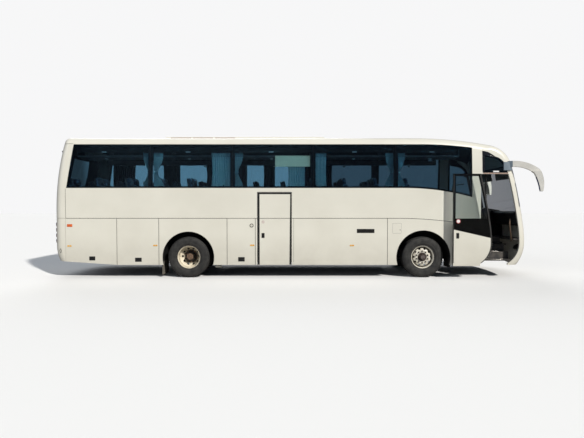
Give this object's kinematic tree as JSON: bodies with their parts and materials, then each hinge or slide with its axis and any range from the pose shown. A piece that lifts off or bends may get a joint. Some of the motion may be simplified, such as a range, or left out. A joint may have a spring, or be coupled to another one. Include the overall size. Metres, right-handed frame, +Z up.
{
  "type": "coach bus",
  "caption": "Single-deck touring coach with dark flush side windows, an outward-swinging front door on arms, a middle door, lifting side flaps and drooping mirrors.",
  "frame": {"origin": "on the ground, on the centre line, half way along the vehicle", "axes": "+X forward, +Y to the vehicle's left, +Z up"},
  "size_m": [12.4405, 3.3066, 3.6848],
  "materials": {
    "body_paint": "warm white gloss coach paint",
    "glass_dark": "dark tinted bonded glass",
    "glass_clear": "lightly tinted glass",
    "black_plastic": "black moulded plastic",
    "grey_plastic": "grey grained interior plastic",
    "chassis_paint": "black chassis paint",
    "rubber": "black rubber",
    "tyre": "worn road tyre",
    "rim_paint": "aged cream wheel paint",
    "cast": "rusty cast parts",
    "seat_fabric": "blue-grey woven seat cloth",
    "curtain_fabric": "teal curtain cloth",
    "rack_plastic": "light grey plastic",
    "board_green": "pale green board",
    "lamp_clear": "clear lamp cover",
    "lamp_red": "red lamp cover",
    "floor_cover": "ribbed grey floor covering",
    "tank_plastic": "black fuel tank",
    "mirror_plastic": "pale mirror housing"
  },
  "bodies": {
    "root": {"side_wall_right": "body_paint", "side_wall_left": "body_paint", "roof": "body_paint", "front_mask": "body_paint", "rear_wall": "body_paint", "side_glass_right": "glass_dark", "side_glass_left": "glass_dark", "windscreen": "glass_clear", "rear_glass": "glass_dark", "headlamps": "lamp_clear", "tail_lamps": "lamp_red", "cabin_floor": "floor_cover", "steps": "floor_cover", "hold_floor": "chassis_paint", "underframe": "chassis_paint", "front_axle": "cast", "rear_axle": "cast", "wheel_liners": "black_plastic", "mud_flaps": "rubber", "engine_block": "cast", "fuel_tank": "tank_plastic", "roof_pod": "body_paint", "mirrors": "mirror_plastic", "seats": "seat_fabric", "dashboard": "grey_plastic", "steering_wheel": "black_plastic", "luggage_racks": "rack_plastic", "curtains": "curtain_fabric", "sign_board": "board_green"},
    "knuckle_right": {"knuckle_right": "cast"},
    "knuckle_left": {"knuckle_left": "cast"},
    "wheel_front_right": {"tyre_front_right": "tyre", "rim_front_right": "rim_paint"},
    "wheel_front_left": {"tyre_front_left": "tyre", "rim_front_left": "rim_paint"},
    "wheels_rear_right": {"tyres_rear_right": "tyre", "rims_rear_right": "rim_paint"},
    "wheels_rear_left": {"tyres_rear_left": "tyre", "rims_rear_left": "rim_paint"},
    "door_arms": {"door_arms": "black_plastic"},
    "front_door": {"front_door": "body_paint", "front_door_glass": "glass_clear"},
    "mid_door": {"mid_door": "body_paint"},
    "engine_lid": {"engine_lid": "body_paint"},
    "flap_right_engine": {"flap_right_engine": "body_paint"},
    "flap_right_rear": {"flap_right_rear": "body_paint"},
    "flap_right_tank": {"flap_right_tank": "body_paint"},
    "flap_right_hold": {"flap_right_hold": "body_paint"},
    "flap_left_rear": {"flap_left_rear": "body_paint"},
    "flap_left_tank": {"flap_left_tank": "body_paint"},
    "flap_left_hold": {"flap_left_hold": "body_paint"}
  },
  "joints": [
    {"name": "steer_right", "type": "hinge", "parent": "root", "child": "knuckle_right", "pos_m": [3.24, -0.93, 0.522], "axis": [0, 0, 1], "range_deg": [-38, 38]},
    {"name": "wheel_front_right_turn", "type": "hinge", "parent": "knuckle_right", "child": "wheel_front_right", "pos_m": [3.24, -1.085, 0.522], "axis": [0, 1, 0], "continuous": true},
    {"name": "wheels_rear_right_turn", "type": "hinge", "parent": "root", "child": "wheels_rear_right", "pos_m": [-2.76, -0.93, 0.522], "axis": [0, 1, 0], "continuous": true},
    {"name": "steer_left", "type": "hinge", "parent": "root", "child": "knuckle_left", "pos_m": [3.24, 0.93, 0.522], "axis": [0, 0, 1], "range_deg": [-38, 38]},
    {"name": "wheel_front_left_turn", "type": "hinge", "parent": "knuckle_left", "child": "wheel_front_left", "pos_m": [3.24, 1.085, 0.522], "axis": [0, 1, 0], "continuous": true},
    {"name": "wheels_rear_left_turn", "type": "hinge", "parent": "root", "child": "wheels_rear_left", "pos_m": [-2.76, 0.93, 0.522], "axis": [0, 1, 0], "continuous": true},
    {"name": "door_arm_swing", "type": "hinge", "parent": "root", "child": "door_arms", "pos_m": [4.88, -1.13, 1.5], "axis": [0, 0, 1], "range_deg": [0, 151]},
    {"name": "front_door_turn", "type": "hinge", "parent": "door_arms", "child": "front_door", "pos_m": [4.51528, -1.33217, 1.5], "axis": [0, 0, 1], "range_deg": [-151, 0]},
    {"name": "mid_door_swing", "type": "hinge", "parent": "root", "child": "mid_door", "pos_m": [-0.124, -1.277, 1.2], "axis": [0, 0, 1], "range_deg": [0, 85]},
    {"name": "engine_lid_lift", "type": "hinge", "parent": "root", "child": "engine_lid", "pos_m": [-6.262, 0, 1.464], "axis": [0, 1, 0], "range_deg": [0, 80]},
    {"name": "flap_right_engine_lift", "type": "hinge", "parent": "root", "child": "flap_right_engine", "pos_m": [-5.2355, -1.277, 1.514], "axis": [-1, 0, 0], "range_deg": [0, 80]},
    {"name": "flap_right_rear_lift", "type": "hinge", "parent": "root", "child": "flap_right_rear", "pos_m": [-4.0455, -1.277, 1.514], "axis": [-1, 0, 0], "range_deg": [0, 80]},
    {"name": "flap_right_tank_lift", "type": "hinge", "parent": "root", "child": "flap_right_tank", "pos_m": [-1.41015, -1.277, 1.514], "axis": [-1, 0, 0], "range_deg": [0, 80]},
    {"name": "flap_right_hold_lift", "type": "hinge", "parent": "root", "child": "flap_right_hold", "pos_m": [1.1225, -1.277, 1.514], "axis": [-1, 0, 0], "range_deg": [0, 80]},
    {"name": "flap_left_rear_lift", "type": "hinge", "parent": "root", "child": "flap_left_rear", "pos_m": [-4.0455, 1.277, 1.514], "axis": [1, 0, 0], "range_deg": [0, 80]},
    {"name": "flap_left_tank_lift", "type": "hinge", "parent": "root", "child": "flap_left_tank", "pos_m": [-1.41015, 1.277, 1.514], "axis": [1, 0, 0], "range_deg": [0, 80]},
    {"name": "flap_left_hold_lift", "type": "hinge", "parent": "root", "child": "flap_left_hold", "pos_m": [0.635, 1.277, 1.514], "axis": [1, 0, 0], "range_deg": [0, 80]}
  ],
  "couplings": [
    {"joint": "steer_left", "follows": "steer_right", "ratio": 1},
    {"joint": "front_door_turn", "follows": "door_arm_swing", "ratio": -1}
  ]
}
